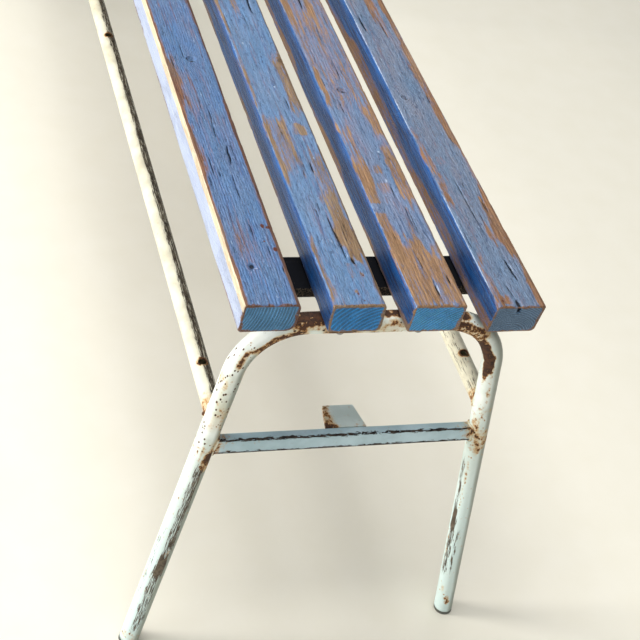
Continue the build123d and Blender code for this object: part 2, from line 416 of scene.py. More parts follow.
def end_grid(loop):
    """Points over the end face in a grid, and the loop's own index for each that lies on its edge."""
    a, b = TOP_CELLS, SIDE_CELLS
    count = len(loop)
    index = -np.ones((a + 1, b + 1), int)
    index[:, 0] = np.arange(0, a + 1)
    index[a, :] = np.arange(a, a + b + 1)
    index[:, b] = np.arange(2 * a + b, a + b - 1, -1)
    index[0, :] = np.arange(count, count - b - 1, -1) % count
    u = np.linspace(0, 1, a + 1)[:, None, None]
    v = np.linspace(0, 1, b + 1)[None, :, None]
    edge = loop[index]
    top, bottom = edge[:, :1], edge[:, -1:]
    left, right = edge[:1], edge[-1:]
    grid = (1 - v) * top + v * bottom + (1 - u) * left + u * right
    grid -= (1 - u) * (1 - v) * edge[:1, :1] + u * (1 - v) * edge[-1:, :1]
    grid -= (1 - u) * v * edge[:1, -1:] + u * v * edge[-1:, -1:]
    return grid, index


def slat_stations(start, stop, places):
    """Places of the rings along a slat, closer together at the two ends and at the listed places."""
    fine = np.array(END_RINGS)
    count = int((stop - start) / RING_GAP)
    inner = np.linspace(start + END_ROUND + END_CLEAR, stop - END_ROUND - END_CLEAR, count)
    for place in places:
        inner = inner[np.abs(inner - place) > FAULT_CLEAR]
        closer = place + np.linspace(-FAULT_REACH, FAULT_REACH, FAULT_RINGS)
        inner = np.sort(np.concatenate((inner, closer)))
    return np.concatenate((start + END_ROUND + fine, inner, stop - END_ROUND - fine[::-1]))


def rings_through(x, y, z, number, facts, centre_y, centre_z):
    """Distance in millimetres from the wandering pith, which carries the growth rings."""
    pith_y, pith_z = facts["pith"]
    none = np.zeros(x.shape)
    row = none + number
    wander = 7 * (noise(x / 260, row, 40 + number) - noise(none, row, 40 + number))
    rise = 5 * (noise(x / 340, row, 50 + number) - noise(none, row, 50 + number))
    out = np.hypot(y - centre_y - pith_y - wander, z - centre_z - pith_z - rise)
    out += 1.3 * noise(x / 45, (y + z) / 14, 60 + number)
    out += 1.9 * noise(out / 6.5, none, 64 + number)
    for knot_x, knot_y, radius in facts["knots"] + facts["far_knots"]:
        gap = np.hypot((x - knot_x) / 1.8, y - knot_y)
        out += 2.2 * radius * bell(gap / (1.7 * radius))
    return out


def far_faults(number, facts, low_y, high_y):
    """Seeded knots and checks for the stretch beyond what is listed."""
    rng = np.random.RandomState(number)
    facts["far_knots"] = []
    for place in FAR_KNOTS:
        x = place + rng.uniform(-70, 70)
        facts["far_knots"].append((x, rng.uniform(low_y + 9, high_y - 9), rng.uniform(3.0, 5.5)))
    checks = []
    for _ in range(SMALL_CHECKS):
        x = rng.uniform(20, 1230)
        y = rng.uniform(low_y + 5, high_y - 5)
        length = rng.uniform(8, 46)
        slope = rng.uniform(-0.02, 0.02)
        bend = rng.uniform(-0.5, 0.5)
        middle = (x + length / 2, y + bend + slope * length / 2)
        line = [(x, y), middle, (x + length, y + slope * length)]
        wide = rng.uniform(0.25, 0.5)
        checks.append((line, wide, 1.3 * wide))
    for place in FAR_CHECKS:
        x = place + rng.uniform(-50, 50)
        y = rng.uniform(low_y + 8, high_y - 8)
        line = [(x, y), (x + 14, y + rng.uniform(-1, 1)), (x + rng.uniform(28, 44), y + rng.uniform(-1, 1))]
        checks.append((line, rng.uniform(0.7, 1.0), 1.8))
    facts["checks"] = checks


def weather(points, outward, on_end, number, facts, box):
    """How deep each point of a slat is worn, and its layers of wear for the paint."""
    x, y, z = points[:, 0] + HALF_LENGTH, points[:, 1], points[:, 2]
    normal_y, normal_z = outward[:, 1], outward[:, 2]
    low, high = box
    middle_y, middle_z = (low[1] + high[1]) / 2, (low[2] + high[2]) / 2
    none = np.zeros(x.shape)

    def own(along, across, layer):
        """This slat's own noise. Each layer has a pattern of its own."""
        return noise(along, across, layer + number)

    grain = rings_through(x, y, z, number, facts, middle_y, middle_z)
    wave = np.sin(2 * pi * grain / facts["ring"])
    on_top = smooth(normal_z, 0.25, 0.8)
    ribs = 0.02 + 0.09 * smooth(own(x / 90, (y + z) / 12, 74), 0.35, 0.8)
    depth = ribs * (1 + wave) / 2 + 0.22 * own(x / 70, (y + z) / 16, 70)
    bare = 0.13 + 0.20 * (own(x / 55, y / 5, 80) - HALF) + 0.10 * (own(x / 160, y / 18, 84) - HALF)
    listed = 1 - smooth(x, LISTED_FROM, LISTED_TO)
    beyond = smooth(own(x / 95, y / 6.5, 90), 0.60, 0.82)
    bare += on_top * (1 - listed) * 0.5 * beyond
    # bare patches: the long ones have ragged ends, and the narrow ones keep straighter sides
    sway_x = 30 * (own(x / 16, y / 2.6, 140) - HALF)
    sway_y = 4.5 * (own(x / 24, y / 9, 144) - HALF) + 2 * (own(x / 7, y / 4, 146) - HALF)
    for x0, x1, y0, y1, strength in facts["bare"]:
        long = x1 - x0 > 24
        narrow = y1 - y0 < 11 and x1 - x0 > 200
        inside = band(x + (sway_x if long else 0), x0, x1, 11 if long else 1.5)
        inside *= band(y + sway_y * (0.22 if narrow else 1), y0, y1, 2.2)
        bare += strength * inside * smooth(normal_z, 0.05, 0.3)
    # arrises: the corner stands out, so it is rubbed first
    corner = 4 * normal_y**2 * normal_z**2
    rough_edge = own(x / 26, (y + 2 * z) / 20, 100)
    bare += corner * (0.10 + 0.42 * smooth(rough_edge, 0.35, 0.75)) * (1 - on_end)
    depth += facts["taper"] * smooth(x, 10, 230) * smooth(-normal_y, 0.3, 0.9)
    depth += corner * (0.15 + 1.1 * smooth(own(x / 13, (y + z) / 30, 104), 0.62, 0.95))
    # ends: a worn outline a few millimetres wide round each end face
    to_end = np.minimum(x - (low[0] + HALF_LENGTH), high[0] + HALF_LENGTH - x)
    ragged = 2.6 * (own(y / 5, z / 5 + x / 9, 150) - 0.4)
    rubbed_end = 1 - smooth(to_end + ragged, 0.7, 2.9)
    bare += 0.5 * rubbed_end * (1 - on_end)
    # the sides are bare towards the bottom, where brushes did not reach, and so is the underside
    side = smooth(np.abs(normal_y), 0.6, 0.9)
    height = z - low[2]
    reach_up = facts["bare_foot"] * (0.4 + 1.2 * own(x / 60, none + 3, 110))
    bare += side * 0.55 * (1 - smooth(height, reach_up - 2.5, reach_up + 2.5))
    under = smooth(-normal_z, 0.3, 0.8)
    bare += under * (0.2 + 0.5 * smooth(own(x / 90, y / 22, 114), 0.35, 0.7))
    crack, pale, stain = none.copy(), none.copy(), none.copy()
    # crack marks cracks, dents and knot hollows, which get painted shade; pale marks blisters and painted
    # highlights
    for line, wide, deep in facts["cracks"] + facts["checks"]:
        gap, t = near_line(x, y, line)
        taper = np.sqrt(np.clip(np.sin(pi * np.clip(t, 0.02, 0.98)), 0, 1))
        over_end = line[0][0] < -5
        reach = on_top + on_end * smooth(z, high[2] - 13, high[2] - 6) if over_end else on_top
        crack = np.maximum(crack, np.clip(1 - (gap - wide * taper) / CRACK_REACH, 0, 1.4) * reach)
        depth += deep * taper * bell(gap / (wide * taper + 0.4)) * reach
        # painted highlight: a pale lip along the right edge of a deep crack, where its wall faces the light
        if deep > 1.1:
            line_y = np.interp(x, [p[0] for p in line], [p[1] for p in line])
            lip = np.abs(gap - wide - 0.7) / 0.5 + 3 * (y > line_y)
            pale = np.maximum(pale, 0.46 * taper * bell(lip) * on_top)
    for cx, cy, rx, ry, deep in facts["dents"]:
        gap = np.hypot((x - cx) / rx, (y - cy) / ry)
        depth += deep * np.exp(-(gap**4)) * on_top
        crack = np.maximum(crack, (0.76 + 0.26 * deep) * np.exp(-(gap**2) * 0.5) * on_top)
    for cx, cy, rx, ry, rise in facts["blisters"]:
        gap = np.hypot((x - cx) / rx, (y - cy) / ry)
        depth -= rise * bell(gap) * on_top
        pale = np.maximum(pale, 0.62 * bell(gap) * on_top)
    # knots: a sunk disc with a raised lip; its dark core and the dark crescent on the wall that faces away
    # from the light are painted shade in the hollow, and the pale rim on the wall that faces the light is a
    # painted highlight
    for cx, cy, radius in facts["knots"] + facts["far_knots"]:
        gap = np.hypot(x - cx, y - cy) / radius
        depth += (1.9 * np.exp(-((gap / 0.66) ** 4)) - 0.34 * bell((gap - 1.0) / 0.2)) * on_top
        core = np.hypot(x - cx + 0.25 * radius, y - cy + 0.1 * radius) / radius
        crack = np.maximum(crack, 1.35 * bell(core / 0.5) * on_top)
        crescent = smooth(cx - x + 0.8 * (y - cy), -0.5 * radius, 0.7 * radius)
        crack = np.maximum(crack, 1.7 * (bell((gap - 0.74) / 0.24) * crescent) * on_top)
        lit_side = 1 - smooth(cx - x, 0, radius)
        pale = np.maximum(pale, 0.4 * bell((gap - 1.0) / 0.16) * lit_side * on_top)
    for cx, cy, rx, ry in facts["spots"]:
        gap = np.hypot((x - cx) / rx, (y - cy) / ry)
        depth += 0.5 * bell(gap) * on_top
        stain = np.maximum(stain, bell(gap / 1.1) * on_top)
    # painted light: the whole left face of the first slat is made pale, with pale bare wood near its top,
    # and the others get a painted highlight along the left arris, where the paint is kept
    sun = none.copy()
    if number == 1:
        pale = np.maximum(pale, smooth(normal_y, 0.8, 0.97) * facts["sun"])
        edge = z + 1.6 * (own(x / 30, none, 117) - HALF)
        sun = smooth(normal_y, 0.45, 0.7) * smooth(edge, high[2] - 9.5, high[2] - 6)
    else:
        strip = bell((normal_y - 0.66) / 0.17) * (normal_z > 0.2)
        run = 0.5 + 0.5 * smooth(own(x / 40, none, 120), 0.2, 0.45)
        pale = np.maximum(pale, strip * run * facts["sun"])
        bare -= 0.9 * strip * run
        bare -= 0.16 * side * (normal_y > 0)
    # a ragged worn rim round each end face, widest along the bottom and down the right side
    slant = facts["lean"] * ((z - middle_z) / (high[2] - low[2]))
    left_gap = high[1] - abs(facts["lean"]) / 2 - slant - y
    right_gap = y - (low[1] + abs(facts["lean"]) / 2 - slant)
    rounding = np.hypot(np.maximum(END_RIM - right_gap, 0), np.maximum(END_RIM - height, 0))
    rim_gap = np.minimum(left_gap - 1.0, right_gap - 2.9)
    rim_gap = np.minimum(rim_gap, np.minimum(high[2] - z - 0.9, height - 1.3))
    rim_gap = np.minimum(rim_gap, 7.3 - rounding) - 3.0 * (own(y / 5, z / 5, 154) - 0.4)
    end_bare = -0.16 + 0.75 * (1 - smooth(rim_gap, 0.2, 2.2))
    bare = bare * (1 - on_end) + on_end * end_bare
    depth = np.maximum(depth - 0.05, -TOP_ROOM + 0.02)
    layers = {"bare": bare, "crack": crack, "pale": pale, "stain": stain, "grain": grain, "end": on_end}
    layers["side"] = side * (1 - on_end)
    layers["sun"] = sun * (1 - on_end)
    return depth, layers


def build_slat(number, material):
    """A slat as one closed mesh: rings along its length, and a grid over each end face."""
    facts = SLATS[number]
    name = f"slat_{number}"
    low, high = (np.array(corner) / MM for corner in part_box(name))
    far_faults(number, facts, low[1], high[1])
    middle = (low + high) / 2
    _, width, thick = high - low
    loop, normals = section(width, thick, facts["radii"], facts["lean"])
    count = len(loop)
    start, stop = low[0] + TOP_ROOM, high[0] - TOP_ROOM
    turns = np.radians(np.linspace(0, 90, 5))
    stations, insets, facing = [], [], []
    for turn in turns:
        stations.append(start + END_ROUND * (1 - cos(turn)))
        insets.append(END_ROUND * (1 - sin(turn)))
        facing.append(-cos(turn))
    places = [place[0] - HALF_LENGTH for place in facts["knots"] + facts["dents"][:1]]
    for station in slat_stations(start, stop, places):
        stations.append(station)
        insets.append(0.0)
        facing.append(0.0)
    for turn in turns[::-1]:
        stations.append(stop - END_ROUND * (1 - cos(turn)))
        insets.append(END_ROUND * (1 - sin(turn)))
        facing.append(cos(turn))
    stations, insets, facing = np.array(stations), np.array(insets), np.array(facing)
    rings = len(stations)
    yz = middle[1:] + loop[None] - normals[None] * insets[:, None, None]
    x = np.repeat(stations[:, None], count, axis=1)
    tilt = np.sqrt(1 - facing**2)[:, None]
    ny, nz = normals[None, :, 0] * tilt, normals[None, :, 1] * tilt
    nx = np.repeat(facing[:, None], count, axis=1)
    body = [np.stack((x, yz[..., 0], yz[..., 1]), -1).reshape(-1, 3)]
    body_normals = [np.stack((nx, ny, nz), -1).reshape(-1, 3)]
    faces = []
    for r in range(rings - 1):
        base = r * count
        for k in range(count):
            after = (k + 1) % count
            faces.append((base + k, base + after, base + count + after, base + count + k))
    on_end = [np.zeros(rings * count)]
    total = rings * count
    for last, face_x, direction in ((False, stations[0], -1), (True, stations[-1], 1)):
        base = (rings - 1) * count if last else 0
        grid, index = end_grid(yz[-1 if last else 0])
        ids = index + base
        inside = (slice(1, -1), slice(1, -1))
        fresh = np.arange(total, total + (TOP_CELLS - 1) * (SIDE_CELLS - 1))
        ids[inside] = fresh.reshape(TOP_CELLS - 1, SIDE_CELLS - 1)
        points = grid[inside].reshape(-1, 2)
        body.append(np.column_stack((np.full(len(points), face_x), points)))
        body_normals.append(np.tile((direction, 0.0, 0.0), (len(points), 1)))
        on_end.append(np.ones(len(points)))
        total += len(points)
        for a in range(TOP_CELLS):
            for b in range(SIDE_CELLS):
                quad = (ids[a, b], ids[a, b + 1], ids[a + 1, b + 1], ids[a + 1, b])
                faces.append(tuple(int(q) for q in (quad[::-1] if last else quad)))
    points, outward, on_end = np.vstack(body), np.vstack(body_normals), np.concatenate(on_end)
    depth, layers = weather(points, outward, on_end, number, facts, (low, high))
    ridge = 0.14 * (1 + np.sin(2 * pi * layers["grain"] / facts["ring"])) / 2
    depth = np.where(on_end > 0.5, ridge + 2.6 * smooth(layers["crack"], 0.8, 1.1), depth)
    points = (points - outward * depth[:, None]) * MM
    piece = make_piece(f"weathered_{name}", points, faces, material, layers)
    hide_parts(name)


def timber(number, blue, deep_blue, violet, tan, umber, end_blue, blister_and_highlight_blue):
    """Old blue paint over pine, worn through where the layers say so."""
    f = Finish(f"painted_timber_{number}")
    seed = 3.0 * number
    pitch = SLATS[number]["ring"]
    bare, crack, pale = f.layer("bare"), f.layer("crack"), f.layer("pale")
    stain, grain, on_end = f.layer("stain"), f.layer("grain"), f.layer("end")
    # fine fibres run along the slat, brush marks are longer and broader
    fibre = f.cloud((0.022, 0.0008, 0.0008), 4, 0.6, seed=seed)
    brush = f.cloud((0.055, 0.0024, 0.0024), 3, 0.6, seed=seed + 1)
    lumps = f.cloud((0.006, 0.0017, 0.0017), 3, 0.6, twist=0.6, seed=seed + 2)
    broad = f.cloud((0.09, 0.02, 0.02), 3, 0.55, seed=seed + 3)
    grit = f.cloud(0.0011, 2, 0.6, seed=seed + 4)
    wobble = f.times(f.cloud((0.03, 0.004, 0.004), 3, 0.55, seed=seed + 5), 1.1)
    phase = f.times(f.plus(grain, wobble), 2 * pi / pitch)
    ring = f.plus(f.times(f.math("SINE", phase), 0.5), 0.5)
    late = f.step(ring, 0.55, 0.95)
    # wood
    wood = f.blend(f.step(fibre, 0.3, 0.7), umber, tan)
    wood = f.blend(f.times(late, 0.22), wood, toned(umber, 0.45))
    wood = f.blend(f.step(broad, 0.45, 0.75, 0.0, 0.35), wood, srgb(150, 140, 128))
    # paint
    paint = f.blend(f.step(broad, 0.3, 0.7), blue, violet)
    flecks = f.cloud((0.0085, 0.0012, 0.0012), 3, 0.55, twist=0.5, seed=seed + 7)
    # each row colours the places where a cloud goes from low to high, or from high to low
    for cloud, low, high, amount, tint in (
        (brush, 0.50, 0.66, 0.8, deep_blue),
        (lumps, 0.56, 0.68, 0.5, srgb(124, 160, 202)),
        (lumps, 0.46, 0.34, 0.8, srgb(40, 56, 92)),
        # painted highlight: the pale flecks stand in for glints on raised paint
        (flecks, 0.62, 0.70, 0.75, srgb(176, 196, 222)),
        (flecks, 0.36, 0.29, 0.75, srgb(30, 40, 66)),
        (fibre, 0.56, 0.70, 0.6, srgb(104, 86, 92)),
    ):
        paint = f.blend(f.step(cloud, low, high, 0.0, amount), paint, tint)
    # flaking film: short crests with dark feet
    crest = f.cloud((0.0062, 0.0021, 0.0021), 3, 0.6, twist=1.4, seed=seed + 8)
    from_crest = f.math("ABSOLUTE", f.math("SUBTRACT", crest, HALF))
    crest = f.math("SUBTRACT", 1.0, f.times(from_crest, 7.0), clamp=True)
    flaking = f.step(f.cloud((0.05, 0.012, 0.012), 2, 0.5, seed=seed + 9), 0.38, 0.62, 0.25, 1.0)
    crest = f.times(crest, flaking)
    paint = f.blend(f.times(crest, 0.5), paint, srgb(136, 170, 210))
    # end faces hold more paint, with the growth rings standing through it
    end_dark = toned(end_blue, 0.42)
    end_light = toned(end_blue, 1.75, 0.01)
    end_cloud = f.cloud(0.006, 3, 0.6, seed=seed + 6)
    end_paint = f.blend(f.step(end_cloud, 0.35, 0.65, 0.0, 0.5), end_blue, end_dark)
    ring_paint = f.times(f.step(ring, 0.72, 0.98), f.step(end_cloud, 0.35, 0.6, 0.15, 0.8))
    end_paint = f.blend(ring_paint, end_paint, end_light)
    end_paint = f.blend(f.step(ring, 0.3, 0.02, 0.0, 0.55), end_paint, end_dark)
    side_paint = f.blend(f.step(brush, 0.42, 0.62), srgb(2, 92, 168), srgb(0, 50, 104))
    side_paint = f.blend(f.step(lumps, 0.56, 0.7, 0.0, 0.4), side_paint, srgb(56, 140, 206))
    paint = f.blend(f.layer("side"), paint, side_paint)
    paint = f.blend(on_end, paint, end_paint)
    # where the paint is gone
    worn = bare
    for cloud, amount in ((fibre, 1.0), (brush, 0.9), (lumps, 0.7), (ring, 0.05)):
        worn = f.stir(worn, cloud, amount)
    thin = f.step(worn, 0.16, 0.46)
    open_wood = f.step(worn, 0.38, 0.58)
    colour = f.blend(f.times(thin, 0.5), paint, srgb(146, 120, 132))
    colour = f.blend(open_wood, colour, wood)
    # thin film of paint left in the pores of the bare wood
    pores = f.times(f.step(lumps, 0.58, 0.70), f.math("SUBTRACT", 1.0, f.step(bare, 0.75, 1.1)))
    colour = f.blend(f.times(pores, 0.5), colour, blue)
    # pale paint on blisters, together with painted highlights: the first slat's left face, the left
    # arrises, the lit lips of deep cracks and the lit rims of knots
    blister_and_highlight = f.stir(pale, lumps, 0.5)
    blister_and_highlight = f.times(f.step(blister_and_highlight, 0.30, 0.62), f.math("SUBTRACT", 1.0, f.times(open_wood, 0.85)))
    colour = f.blend(f.times(blister_and_highlight, 0.9), colour, blister_and_highlight_blue)
    # painted sunlight: bare wood near the top of the first slat's left face turns pale cream
    sunlit_wood = f.blend(f.step(fibre, 0.35, 0.65), srgb(236, 222, 194), srgb(216, 188, 150))
    colour = f.blend(f.step(f.layer("sun"), 0.35, 0.65), colour, sunlit_wood)
    rusty = f.step(f.stir(stain, grit, 0.6), 0.35, 0.6)
    colour = f.blend(rusty, colour, f.blend(grit, srgb(58, 26, 14), srgb(132, 62, 36)))
    # painted shade: cracks, dents and knot hollows are filled with a near-black blue, standing in for the
    # shade inside them
    split = f.stir(crack, lumps, 0.5)
    dark = f.step(split, 0.95, 1.10)
    colour = f.blend(f.times(dark, 0.93), colour, srgb(16, 20, 30))
    rough = f.step(open_wood, 0.0, 1.0, 0.43, 0.66)
    rough = f.stir(rough, lumps, 0.3, clamp=True)
    height = f.times(fibre, 0.5)
    for cloud, amount in ((lumps, 1.1), (ring, 0.25), (flecks, 0.9), (crest, 0.45)):
        height = f.plus(height, f.times(cloud, amount))
    for cut, amount in ((open_wood, 0.25), (dark, 1.6)):
        height = f.math("SUBTRACT", height, f.times(cut, amount))
    f.bump(height, 0.0016, 1.0)
    return f.finish(colour, rough, specular=0.5)


# ---------------------------------------------------------------- painted steel

# Radii, and where centre lines run, from the middle of the bench and from the floor.
TUBE_R = 10
RAIL_R = 9
BEND_R = 62
SHOULDER_Y = 119  # where a leg's line would meet the line of the hoop's top
FOOT_Y = 176
TOP_X, FOOT_X = 599.5, 628
TOP_Z = 415
PLUG_TOP = 4  # the tube stands on its plug's rim
RAIL_Z = 306.5
RAIL_Y = 133.9
HOLE_X = 545  # the outer holes in the rails and the outer straps
STRETCHER_X = 609.3
STRETCHER_Z = 272
STRETCHER_HIGH, STRETCHER_DEEP, STRETCHER_ROUND = 18, 10, 2
STRAP_EDGE, STRAP_CREASE = 21.5, 14  # from the middle of a strap
TUBE_SIDES = 56
TUBE_STEP = 3.0
JOINTS = (275, 310)  # along a leg, where the stretcher and the rail meet it
ON_TOP = 440  # along a hoop, about where the bend ends and its top begins
WELD_SIDES = 12
RAIL_BEAD, STRETCHER_BEAD = (72, 1.9), (64, 1.7)  # points round a weld, and its radius

# Rust and scrapes on the near hoop: from, to along the tube from the left foot, from, to round it
# in degrees, where 0 faces out of the bend, 90 into the bench and 180 into the bend; then how much.
NEAR_RUST = [
    (4, 16, -180, 180, 0.16), (250, 272, -170, -84, 0.34), (262, 300, -175, -110, 0.16),
    (284, 330, -130, -40, 0.08), (330, 400, -96, -30, 0.08), (350, 358, -62, -44, 0.3),
    (352, 364, -30, 0, 0.3), (378, 400, -92, -62, 0.40), (398, 452, -150, -88, 0.48),
    # partly painted shade: the first entry on the next line rusts the top of the tube under the slats,
    # standing in also for the slats' shadow on it
    (440, 600, -34, 90, 0.62), (440, 512, -80, -30, 0.30), (512, 600, -80, -30, 0.14),
    (525, 531, -68, -50, 0.5), (600, 607, -64, -46, 0.4), (448, 600, 90, 180, 0.2),
    (470, 570, -140, -70, 0.22), (590, 632, -150, -60, 0.42), (632, 668, -180, -104, 0.62),
    (664, 684, -152, -112, 0.62), (682, 694, -146, -120, 0.36), (698, 707, -108, -94, 0.36),
    (736, 762, -165, -112, 0.20), (758, 782, -140, -50, 0.16), (768, 776, -74, -48, 0.22),
    (990, 1004, -156, -132, 0.3), (1008, 1020, -130, -90, 0.3),
]
NEAR_SCRAPES = [
    (16, 130, -108, -50, 0.47), (110, 262, -118, -60, 0.47), (150, 256, -120, -90, 0.10),
    (60, 180, -34, 4, 0.34), (796, 900, -178, -148, 0.5), (880, 976, -178, -136, 0.52),
    (900, 975, -128, -106, 0.48), (150, 200, 20, 60, 0.36), (850, 960, 40, 90, 0.40),
    (300, 340, 60, 130, 0.36),
]


def hoop_path(end):
    """Places along a hoop from its left foot, with the centre, outward direction and tangent at each."""
    top = np.array((end * TOP_X, 0, TOP_Z), float)
    foot = np.array((end * FOOT_X, 0, 0), float)
    up = top - foot
    fall = np.linalg.norm(up)
    up /= fall
    across = np.array((0.0, 1.0, 0.0))
    out_of_bench = np.array((end, 0.0, 0.0)) - up * (end * up[0])
    out_of_bench /= np.linalg.norm(out_of_bench)
    leg = np.array((FOOT_Y - SHOULDER_Y, -fall))
    leg /= np.linalg.norm(leg)
    turn = np.arccos(leg[0])
    tangent = BEND_R * np.tan(turn / 2)
    leg_run = np.hypot(FOOT_Y - SHOULDER_Y, fall) - tangent
    arc_run = BEND_R * turn
    top_run = 2 * (SHOULDER_Y - tangent)
    total = 2 * (leg_run + arc_run) + top_run
    bend_centre = np.array((SHOULDER_Y - tangent, -BEND_R))
    lowest = PLUG_TOP / (up[2] * -leg[1])
    places = np.concatenate((np.arange(lowest, total - lowest, TUBE_STEP), [total - lowest]))
    centres, outs, tangents = [], [], []
    for s in places:
        mirrored = s > total / 2
        t = total - s if mirrored else s
        if t < leg_run:
            point = np.array((FOOT_Y, -fall)) - leg * t
            out = np.array((-leg[1], leg[0]))
        elif t < leg_run + arc_run:
            angle = pi / 2 - turn + (t - leg_run) / BEND_R
            out = np.array((cos(angle), sin(angle)))
            point = bend_centre + BEND_R * out
        else:
            out = np.array((0.0, 1.0))
            point = np.array((SHOULDER_Y - tangent - (t - leg_run - arc_run), 0.0))
        along = np.array((-out[1], out[0]))
        if mirrored:
            point, out, along = point * (-1, 1), out * (-1, 1), along * (1, -1)
        centres.append(top + across * point[0] + up * point[1])
        outs.append(across * out[0] + up * out[1])
        tangents.append(across * along[0] + up * along[1])
    return places, np.array(centres), np.array(outs), np.array(tangents), out_of_bench, total


def build_hoop(name, end, material):
    """A bent tube as one closed mesh, with its rust, scrapes and a painted shade on the side that faces
    right. end is -1 for the near hoop.
    """
    places, centres, outs, tangents, out_of_bench, total = hoop_path(end)
    turns = np.linspace(-180, 180, TUBE_SIDES, endpoint=False)
    c, s = np.cos(np.radians(turns)), np.sin(np.radians(turns))
    along = np.repeat(places[:, None], TUBE_SIDES, 1)
    around = np.repeat(turns[None], len(places), 0)
    rust, scrape = np.zeros(along.shape), np.zeros(along.shape)
    drift = 9 * (noise(along / 9, around / 28, 210) - HALF)
    swing = 34 * (noise(along / 12, around / 40, 211) - HALF)
    if end < 0:
        for a, b, low, high, amount in NEAR_RUST:
            rust += amount * band(along + drift, a, b, 4) * band(around + swing, low, high, 10)
        for a, b, low, high, amount in NEAR_SCRAPES:
            scrape += amount * band(along, a, b, 12) * band(around + 0.4 * swing, low, high, 7)
    pits = 0.2 + 0.8 * band(along, 288, 460, 25) + 0.5 * band(along, 470, 620, 25)
    seed = 200 if end < 0 else 300
    for joint in (*JOINTS, *(total - place for place in JOINTS)):
        rust += 0.20 * bell((along - joint) / 11) * (0.4 + 0.6 * noise(along / 12, around / 40, seed))
    blotch = smooth(noise(along / 34, around / 34, seed + 1), 0.80, 0.95)
    rust += 0.42 * blotch * (0.5 if end < 0 else 1)
    on_top = band(along, ON_TOP, total - ON_TOP, 20)
    rust += 0.25 * on_top * smooth(noise(along / 30, around / 60, seed + 2), 0.35, 0.7)
    if end > 0:
        scrape += 0.45 * smooth(noise(along / 120, around / 14, seed + 3), 0.78, 0.9) * (1 - on_top)
    dent = 0.12 * noise(along / 40, around / 50, seed + 4) + 0.25 * np.clip(rust + scrape - 0.35, 0, 0.6)
    radius = TUBE_R - dent
    ring = outs[:, None] * c[None, :, None] + out_of_bench[None, None] * -s[None, :, None]
    # painted shade: what faces right, away from the key light, is darkened, standing in for the shade on
    # that side of the tube
    painted_side_shade = smooth(-ring[..., 1] + 0.3 * (noise(along / 40, around / 50, seed + 6) - HALF), -0.02, 0.48)
    points = centres[:, None] + ring * radius[..., None]
    for row in (0, -1):  # the feet are cut level
        lift = (PLUG_TOP - points[row, :, 2]) / tangents[row, 2]
        points[row] += tangents[row] * lift[:, None]
    count = len(places)
    faces = []
    for r in range(count - 1):
        for k in range(TUBE_SIDES):
            after = (k + 1) % TUBE_SIDES
            a, b = r * TUBE_SIDES, (r + 1) * TUBE_SIDES
            faces.append((a + k, a + after, b + after, b + k))
    faces.append(tuple(range(TUBE_SIDES))[::-1])
    faces.append(tuple((count - 1) * TUBE_SIDES + k for k in range(TUBE_SIDES)))
    tube_place = np.stack((along, around / 360 * 2 * pi * TUBE_R, 0 * along), -1) * MM
    layers = {
        "rust": rust.ravel(),
        "scrape": scrape.ravel(),
        "pits": pits.ravel(),
        "painted_side_shade": painted_side_shade.ravel(),
        "along": tube_place.reshape(-1, 3),
    }
    piece = make_piece(f"bent_{name}", points.reshape(-1, 3) * MM, faces, material, layers)
    fix_normals(piece)
    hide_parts(name)


def fix_normals(piece):
    """Turns the whole mesh the right way out."""
    work = bmesh.new()
    work.from_mesh(piece.data)
    bmesh.ops.recalc_face_normals(work, faces=work.faces)
    work.to_mesh(piece.data)
    work.free()


DARK_METAL = (srgb(62, 52, 42), srgb(112, 100, 84))


